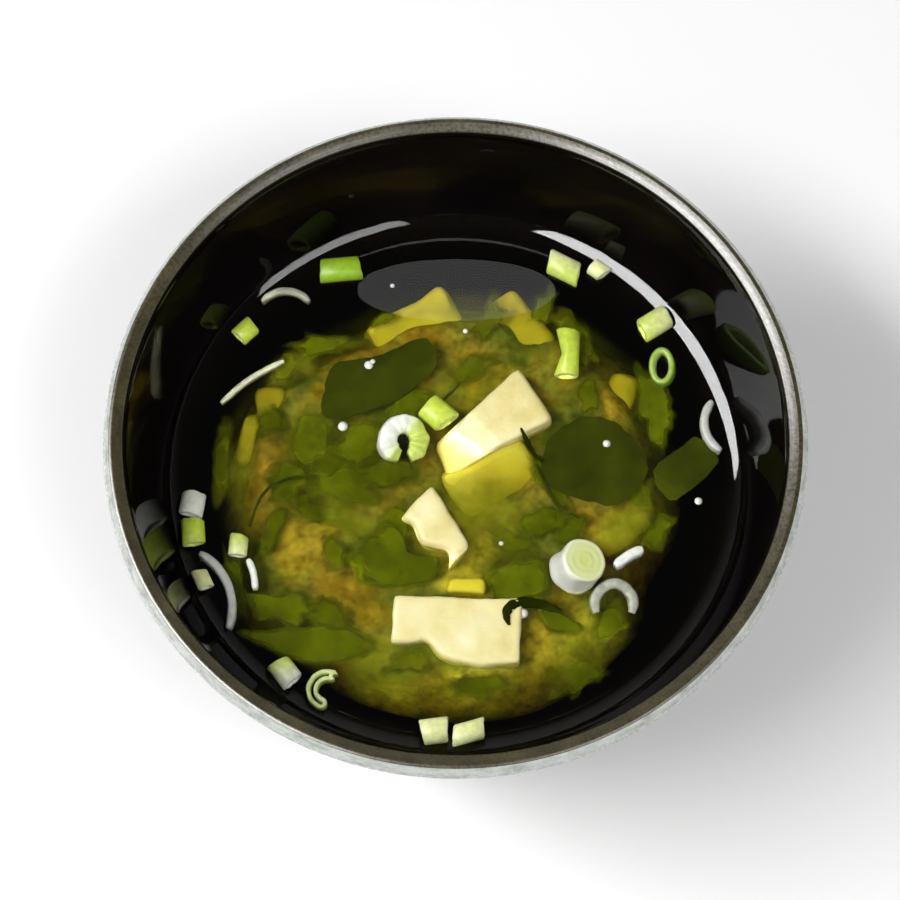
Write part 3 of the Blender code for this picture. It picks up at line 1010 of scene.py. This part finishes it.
def band_mesh(bend, closed, height, wall, rng, slants=(0, 0), waist=0, ragged=0.12):
    """(points, faces, layers) of an upright band along a bend, with rounded cut rims.

    Its section runs round the wall: outer skin, upper rim, inner skin, lower rim. Slants tilt its
    lower and upper cuts, and waist pulls one side in halfway along."""
    half, thick = height / 2, wall / 2
    edge = min(thick * 0.5, 0.3)
    section = (
        (thick, -half + edge, 1.0), (thick, 0, 1.0), (thick, half - edge, 1.0),
        (thick - edge, half, 0.5), (-thick + edge, half, 0.45),
        (-thick, half - edge, 0.0), (-thick, 0, 0.0), (-thick, -half + edge, 0.0),
        (-thick + edge, -half, 0.45), (thick - edge, -half, 0.5),
    )
    count = len(bend)
    around = len(section)
    phase = rng.uniform(0, 90)
    points, layers, faces = [], [], []
    for index, at in enumerate(bend):
        before = bend[(index - 1) % count] if closed or index else at
        after = bend[(index + 1) % count] if closed or index < count - 1 else at
        along = (after - before).normalized()
        out = Vector((along.y, -along.x))
        taper = 1.0
        if not closed:
            from_end = min(index, count - 1 - index) / count
            taper = 0.6 + 0.4 * min(1.0, from_end * 10)
        for across, up, layer in section:
            uneven = ragged * noise.noise(Vector((at.x * 0.9, at.y * 0.9, phase + up * 0.4)))
            place = at + out * (across * taper + uneven * 0.6)
            rise = uneven * (1.4 if abs(up) > half * 0.8 else 0.3)
            if abs(up) > half * 0.5:
                rise += slants[up > 0] * place.y
            elif place.y > 0:
                place.y -= waist * min(1.0, place.y / 1.5)
            points.append((place.x, place.y, up + rise))
            layers.append(layer)
    for index in range(count if closed else count - 1):
        following = (index + 1) % count
        for step in range(around):
            beyond = (step + 1) % around
            faces.append((
                index * around + step, following * around + step,
                following * around + beyond, index * around + beyond,
            ))
    if not closed:
        faces.append(tuple(range(around))[::-1])
        last = (count - 1) * around
        faces.append(tuple(last + step for step in range(around)))
    return points, faces, layers


def fresh_piece(node, mesh_parts, rotation, material, sink=0.0, green=None):
    """A scallion piece whose box is centred where the CAD node's box is."""
    points, faces, layers = mesh_parts
    turned_points = [rotation @ (Vector(point) * MM) for point in points]
    low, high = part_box(node)
    middle = (low + high) / 2
    for axis in range(3):
        values = [point[axis] for point in turned_points]
        shift = middle[axis] - (min(values) + max(values)) / 2
        for point in turned_points:
            point[axis] += shift
    for point in turned_points:
        point.z -= sink * MM
    piece = add_object("cut_" + node, turned_points, faces, material)
    set_layers(piece.data, layers)
    sides = [0.0] * len(turned_points)
    if green:
        way = Vector((math.cos(math.radians(green)), math.sin(math.radians(green)), 0))
        sides = [
            min(1.0, max(0.0, 0.5 + (point - middle).dot(way) / (2.2 * MM))) for point in turned_points
        ]
    attribute = piece.data.attributes.new("green_side", "FLOAT", "POINT")
    attribute.data.foreach_set("value", sides)
    bm = bmesh.new()
    bm.from_mesh(piece.data)
    bmesh.ops.recalc_face_normals(bm, faces=bm.faces)
    bm.to_mesh(piece.data)
    bm.free()
    slot = next(s["material_slot"] for s in frame["record"]["subparts"] if s["node"] == node)
    ride(piece, slot, node)
    return piece


TUBE_FLAT = 0.72
# length, width, wall, turn, slants of its two cuts, waist, colour
TUBES = {
    "scallion_tube_01": (7.4, 4.6, 0.9, 6, (0.1, -0.12), 0.0, "green"),
    "scallion_tube_02": (3.8, 3.8, 0.9, 45, (0.0, 0.1), 0.0, "lime"),
    "scallion_tube_03": (6.2, 4.6, 1.0, -28, (-0.3, -0.3), 0.0, "pale"),
    "scallion_tube_04": (3.0, 3.4, 0.9, -38, (0.0, 0.3), 0.0, "pale"),
    "scallion_tube_05": (5.8, 4.6, 1.0, 34, (0.15, 0.1), 0.0, "pale"),
    "scallion_tube_06": (9.0, 4.4, 0.9, 87, (0.0, 0.12), 1.2, "lime"),
    "scallion_tube_07": (5.0, 5.2, 1.0, -42, (0.0, 0.2), 0.0, "lime"),
    "scallion_tube_08": (4.2, 4.4, 0.9, 82, (0.1, 0.0), 0.0, "white"),
    "scallion_tube_09": (4.6, 4.2, 0.9, 95, (-0.1, 0.1), 0.0, "lime"),
    "scallion_tube_10": (3.4, 2.9, 0.7, 115, (0.2, 0.2), 0.0, "pale"),
    "scallion_tube_11": (3.8, 3.4, 0.9, 85, (0.0, 0.15), 0.0, "pale"),
    "scallion_tube_12": (4.6, 4.3, 0.9, -52, (0.12, -0.1), 0.0, "white"),
    "scallion_tube_13": (4.6, 4.6, 0.9, 8, (-0.1, 0.15), 0.0, "pale"),
    "scallion_tube_14": (5.6, 3.8, 0.9, 16, (0.35, 0.25), 0.0, "pale"),
}
# radii, wall, height, first angle, sweep, lean, way it leans, colour, how far it is sunk
SLICES = {
    "scallion_slice_01": (5.3, 5.3, 1.2, 2.2, 36, 108, 0, 0, "glassy", 1.0),
    "scallion_slice_02": (1.8, 3.0, 1.1, 2.6, 0, 360, 12, 200, "dark", 0.2),
    "scallion_slice_03": (6.4, 6.4, 1.5, 2.4, 140, 96, 0, 0, "silver", 0.3),
    "scallion_slice_04": (2.9, 3.1, 3.3, 4.2, -66, 322, 14, 300, "white", 0.0),
    "scallion_slice_05": (11.7, 11.7, 1.5, 2.8, -18, 79, 0, 0, "silver", 0.3),
    "scallion_slice_06": (12.4, 12.4, 1.2, 2.2, 1, 26, 0, 0, "white", 0.3),
    "scallion_slice_08": (14, 14, 1.7, 2.2, 111, 24, 0, 0, "white", 0.0),
    "scallion_slice_09": (3.4, 3.7, 1.9, 3.0, -24, 228, 14, 270, "glassy", 0.9),
    "scallion_slice_10": (32, 32, 1.1, 1.7, 114, 25, 0, 0, "glassy", 1.1),
}
GREEN_SIDES = {
    "scallion_slice_04": -35, "scallion_tube_11": 100, "scallion_tube_12": 120,
    "scallion_tube_03": 250, "scallion_tube_05": 200,
}
RAGGED = {"scallion_slice_04": 0.5, "scallion_slice_09": 0.25}
CRESCENT = "scallion_slice_07"


def leaning(lean, towards):
    way = math.radians(towards)
    axis = Vector((-math.sin(way), math.cos(way), 0))
    return Matrix.Rotation(math.radians(lean), 3, axis)


def crescent_loop():
    """The closed outline of a tube pressed flat and bent to a crescent."""
    outer = arc((0, 0), 3.35, 3.35, 64, 246, 30)
    inner = arc((0, 0), 2.05, 2.05, 246, 64, 24)
    first_cap = arc(outer[-1].lerp(inner[0], 0.5), 0.65, 0.65, 246, 426, 6)[1:-1]
    last_cap = arc(inner[-1].lerp(outer[0], 0.5), 0.65, 0.65, 244, 64, 6)[1:-1]
    return outer + first_cap + inner + last_cap


def make_scallion():
    rng = random.Random(23)
    finishes = {
        name: scallion_material("scallion_" + name, outer, inner=inner, rim=rim)
        for name, (outer, inner, rim) in PALETTES.items()
    }
    for node, (length, width, wall, turn, slants, waist, colour) in TUBES.items():
        half = (width - wall) / 2
        bend = arc((0, 0), half * TUBE_FLAT, half, 0, 360, 41)[:-1]
        lying = Matrix.Rotation(math.radians(turn), 3, "Z") @ Matrix.Rotation(
            math.radians(90), 3, "Y"
        )
        parts = band_mesh(bend, True, length, wall, rng, slants, waist)
        fresh_piece(node, parts, lying, finishes[colour], green=GREEN_SIDES.get(node))
    for node, row in SLICES.items():
        radius_x, radius_y, wall, height, start, sweep, lean, towards, colour, sink = row
        closed = sweep == 360
        count = max(24, round(sweep / 6))
        bend = arc((0, 0), radius_x, radius_y, start, start + sweep, count + 1)
        ragged = RAGGED.get(node, 0.12)
        parts = band_mesh(bend[:-1] if closed else bend, closed, height, wall, rng, ragged=ragged)
        rotation = leaning(lean, towards)
        fresh_piece(node, parts, rotation, finishes[colour], sink, GREEN_SIDES.get(node))
    parts = band_mesh(crescent_loop(), True, 2.4, 0.8, rng, ragged=0.15)
    fresh_piece(CRESCENT, parts, leaning(0, 0), finishes["leek"], 0.1)


def root_material():
    """The thick slice's look: white flesh with yellow-green rings on its cut end."""
    material, tree, shader = new_material("scallion_root")
    layer = add_node(tree, "ShaderNodeAttribute", attribute_name="layer").outputs["Fac"]
    tint = ramp_of(
        tree,
        layer,
        (
            (0.0, (0.66, 0.74, 0.22)),
            (0.45, (0.72, 0.78, 0.34)),
            (0.7, (0.78, 0.81, 0.56)),
            (1.0, (0.74, 0.75, 0.66)),
        ),
    )
    tree.links.new(tint, shader.inputs["Base Color"])
    shader.inputs["Roughness"].default_value = 0.3
    shader.inputs["Subsurface Weight"].default_value = 0.25
    shader.inputs["Subsurface Radius"].default_value = (0.002, 0.002, 0.001)
    shader.inputs["Subsurface Scale"].default_value = 0.5
    bump(tree, shader, noise_of(tree, 1300, 3), 0.2, 0.0002)
    return material


ROOT_LEAN, ROOT_TOWARDS = 22, 14
ROOT_HEIGHT, ROOT_LOW_RADIUS, ROOT_HIGH_RADIUS = 6.0, 4.4, 4.1


def make_root():
    """A solid slice whose end shows faint ring grooves and whose skirt flares at the bottom."""
    half = ROOT_HEIGHT / 2
    profile = [(0, half - 0.15, 0.0)]
    for step in range(1, 13):
        radius = ROOT_HIGH_RADIUS * 0.93 * step / 12
        groove = 0.04 * math.cos(step * math.tau / 4)
        profile.append((radius, half + groove - 0.05, 0.62 * step / 12))
    profile += [(ROOT_HIGH_RADIUS, half - 0.35, 0.9)]
    for step in range(1, 8):
        share = step / 8
        radius = ROOT_HIGH_RADIUS + (ROOT_LOW_RADIUS - ROOT_HIGH_RADIUS) * share**2
        profile.append((radius, half - 0.35 - (ROOT_HEIGHT - 0.7) * share, 1.0))
    profile += [(ROOT_LOW_RADIUS, -half + 0.3, 1.0), (ROOT_LOW_RADIUS - 0.4, -half, 1.0), (0, -half, 1.0)]
    points, faces, layers = [], [], []
    rings = []
    steps = 48
    for radius, height, layer in profile:
        ring = []
        for step in range(steps if radius else 1):
            angle = math.tau * step / steps
            uneven = 1 + 0.1 * noise.noise(
                Vector((math.cos(angle) * 1.5, math.sin(angle) * 1.5, height * 0.3))
            )
            ring.append(len(points))
            points.append((radius * uneven * math.cos(angle), radius * uneven * math.sin(angle), height))
            layers.append(layer)
        rings.append(ring)
    for one, other in zip(rings, rings[1:]):
        for step in range(steps):
            after = (step + 1) % steps
            if len(one) == 1:
                faces.append((one[0], other[step], other[after]))
            elif len(other) == 1:
                faces.append((one[step], other[0], one[after]))
            else:
                faces.append((one[step], other[step], other[after], one[after]))
    rotation = leaning(ROOT_LEAN, ROOT_TOWARDS)
    fresh_piece("scallion_root", (points, faces, layers), rotation, root_material())


# ---------------------------------------------------------------- bubbles and strands


BUBBLES = (
    # x, y and radius
    (-20.4, 9.4, 0.75), (-15.9, 21.4, 0.7), (27.3, 6.3, 0.6), (43.6, -4.6, 0.6), (12, -25.8, 0.8),
    (-15.2, 22.1, 0.4), (-11.8, 37.2, 0.35), (1.7, 28.2, 0.4), (8.2, -12.8, 0.35),
)


def make_bubbles():
    """Tiny foam bubbles afloat, joined as one piece: squat domes with a ring of film. Their pale colour is
    partly a painted highlight.
    """
    material, tree, shader = new_material("foam")
    # Pale tint: partly a painted highlight.
    tint = ramp_of(
        tree, noise_of(tree, 2500, 2), ((0.3, (0.60, 0.62, 0.55)), (0.7, (0.86, 0.87, 0.80)))
    )
    tree.links.new(tint, shader.inputs["Base Color"])
    shader.inputs["Roughness"].default_value = 0.08
    bm = bmesh.new()
    for x, y, radius in BUBBLES:
        place = Matrix.Translation((x * MM, y * MM, LEVEL)) @ Matrix.Diagonal((1, 1, 0.6, 1))
        made = bmesh.ops.create_icosphere(bm, subdivisions=3, radius=radius * MM, matrix=place)
        for vert in made["verts"]:
            reach = math.hypot(vert.co.x - x * MM, vert.co.y - y * MM)
            if vert.co.z < LEVEL:
                vert.co.z = LEVEL - 0.1 * MM
                vert.co.x = x * MM + (vert.co.x - x * MM) * (1 + 0.25 * reach / (radius * MM))
                vert.co.y = y * MM + (vert.co.y - y * MM) * (1 + 0.25 * reach / (radius * MM))
    mesh = bpy.data.meshes.new("foam_bubbles")
    bm.to_mesh(mesh)
    bm.free()
    mesh.materials.append(material)
    mesh.shade_smooth()
    bubbles = bpy.data.objects.new("foam_bubbles", mesh)
    bpy.context.scene.collection.objects.link(bubbles)
    ride(bubbles, "soup")


STRANDS = (
    # points as x, y and height over the surface, with the thickness there
    ((11.8, 8.7, 1.4, 0.2), (12.6, 6.7, 1.35, 0.55), (13.9, 4.3, 0.9, 0.5), (15.7, 2.7, 0.1, 0.5)),
    ((9.6, -28.4, 1.3, 0.3), (9.1, -26.6, 1.3, 0.9), (9.8, -24.9, 1.2, 1.1), (12.2, -23.9, 0.4, 1.2),
     (15.8, -24.3, -0.2, 1.0), (19, -25.4, -0.5, 0.5)),
    ((-6.2, 11.1, 0.1, 0.2), (-3.9, 13.1, 0.1, 0.35), (-1.3, 15.5, -0.1, 0.3), (0.8, 18.1, -0.3, 0.2)),
    ((-36.7, -9.9, -0.2, 0.3), (-34.7, -3.9, -0.2, 0.35), (-30.7, -0.9, -0.3, 0.35), (-24.7, -0.3, -0.3, 0.3)),
    ((22.3, -7.9, -0.2, 0.2), (18.8, -5.9, -0.2, 0.4), (16.3, -1.9, -0.2, 0.4), (14.7, 2.1, -0.2, 0.3)),
)


def make_strands(material):
    """Thin torn stalks of wakame, joined as one piece."""
    points, faces = [], []
    sides = 8
    for strand in STRANDS:
        spine = smooth_open(strand, 8)
        start = len(points)
        for index, at in enumerate(spine):
            after = spine[min(index + 1, len(spine) - 1)]
            before = spine[max(index - 1, 0)]
            along = (after - before).xyz.normalized()
            side = along.cross(Vector((0, 0, 1))).normalized()
            over = side.cross(along)
            for step in range(sides):
                angle = math.tau * step / sides
                reach = at.w * (0.8 + 0.4 * noise.noise(Vector((index * 0.3, step * 0.7, start))))
                offset = side * math.cos(angle) * reach + over * math.sin(angle) * reach * 0.5
                place = at.xyz + offset
                points.append((place.x * MM, place.y * MM, LEVEL + place.z * MM))
        for index in range(len(spine) - 1):
            for step in range(sides):
                beyond = (step + 1) % sides
                low, high = start + index * sides, start + (index + 1) * sides
                faces.append((low + step, low + beyond, high + beyond, high + step))
        faces.append(tuple(start + step for step in range(sides))[::-1])
        end = start + (len(spine) - 1) * sides
        faces.append(tuple(end + step for step in range(sides)))
    strands = add_object("wakame_strands", points, faces, material)
    set_layers(strands.data, [1.0] * len(points))
    ride(strands, "wakame")


# ---------------------------------------------------------------- stage, lights and camera


def make_floor():
    material, tree, shader = new_material("pale_floor")
    tint = ramp_of(
        tree, noise_of(tree, 3, 2), ((0.3, (0.86, 0.86, 0.86)), (0.7, (0.89, 0.89, 0.885)))
    )
    tree.links.new(tint, shader.inputs["Base Color"])
    shader.inputs["Roughness"].default_value = 0.6
    size = 4
    corners = [(-size, -size, 0), (size, -size, 0), (size, size, 0), (-size, size, 0)]
    floor = add_object("floor", corners, [(0, 1, 2, 3)], material, smooth=False)


def add_area_light(name, direction, distance, size_x, size_y, power, along=None, shape="RECTANGLE"):
    """An area light that faces the bowl from a direction; along is the way its long side runs."""
    data = bpy.data.lights.new(name, "AREA")
    data.shape = shape
    data.size = size_x
    data.size_y = size_y
    data.energy = power
    light = bpy.data.objects.new(name, data)
    bpy.context.scene.collection.objects.link(light)
    back = Vector(direction).normalized()
    target = Vector((0, 0, LEVEL))
    up = Vector(along or (0, 0, 1))
    side = up.cross(back).normalized()
    true_up = back.cross(side)
    rotation = Matrix((side, true_up, back)).transposed().to_4x4()
    light.matrix_world = Matrix.Translation(target + back * distance) @ rotation
    return light


def make_world():
    """A plain studio: bright low down, like pale walls, and dark overhead."""
    world = bpy.data.worlds.new("studio")
    world.use_nodes = True
    tree = world.node_tree
    way = add_node(tree, "ShaderNodeTexCoord").outputs["Generated"]
    height = add_node(tree, "ShaderNodeSeparateXYZ", {"Vector": way}).outputs["Z"]
    glow = ramp_of(
        tree, height, ((0.0, (0.8, 0.8, 0.8)), (0.45, (0.6, 0.6, 0.6)), (0.7, (0.08, 0.08, 0.08)))
    )
    tree.links.new(glow, tree.nodes["Background"].inputs["Color"])
    bpy.context.scene.world = world


def make_lights():
    make_world()
    long_way = (0.46, -0.75, 0.24)
    key = add_area_light("key", (-0.56, -0.09, 0.77), 1.0, 0.24, 0.75, 9, along=long_way)
    key.visible_glossy = False
    shine = add_area_light("shine", (-0.56, -0.09, 0.77), 1.01, 0.40, 0.98, 38, along=long_way)
    shine.visible_diffuse = False
    add_area_light("fill", (0.37, -0.353, 0.863), 1.0, 0.26, 0.46, 4, along=(0.368, 0.227, -0.068))
    add_area_light("overhead", (0, 0.438, 0.918), 1.02, 0.105, 0.032, 0.015, shape="ELLIPSE")
    bpy.context.scene.view_settings.view_transform = "Standard"


def make_camera():
    data = bpy.data.cameras.new("camera")
    data.lens = CAMERA_LENS
    data.sensor_width = 36
    data.clip_start = 0.01
    camera = bpy.data.objects.new("camera", data)
    bpy.context.scene.collection.objects.link(camera)
    up = math.radians(CAMERA_HEIGHT_DEG)
    camera.location = Vector((0, 0, HEIGHT)) + CAMERA_DISTANCE * Vector(
        (0, -math.cos(up), math.sin(up))
    )
    camera.rotation_euler = (CAMERA_AIM - camera.location).to_track_quat("-Z", "Y").to_euler()
    bpy.context.scene.camera = camera


make_camera()
make_lights()
make_floor()
make_bowl()
make_broth()
make_haze()
make_wisps()
make_tofu()
make_sunk_tofu()
make_surface_leaves()
make_sunk_leaves()
make_scallion()
make_root()
make_bubbles()
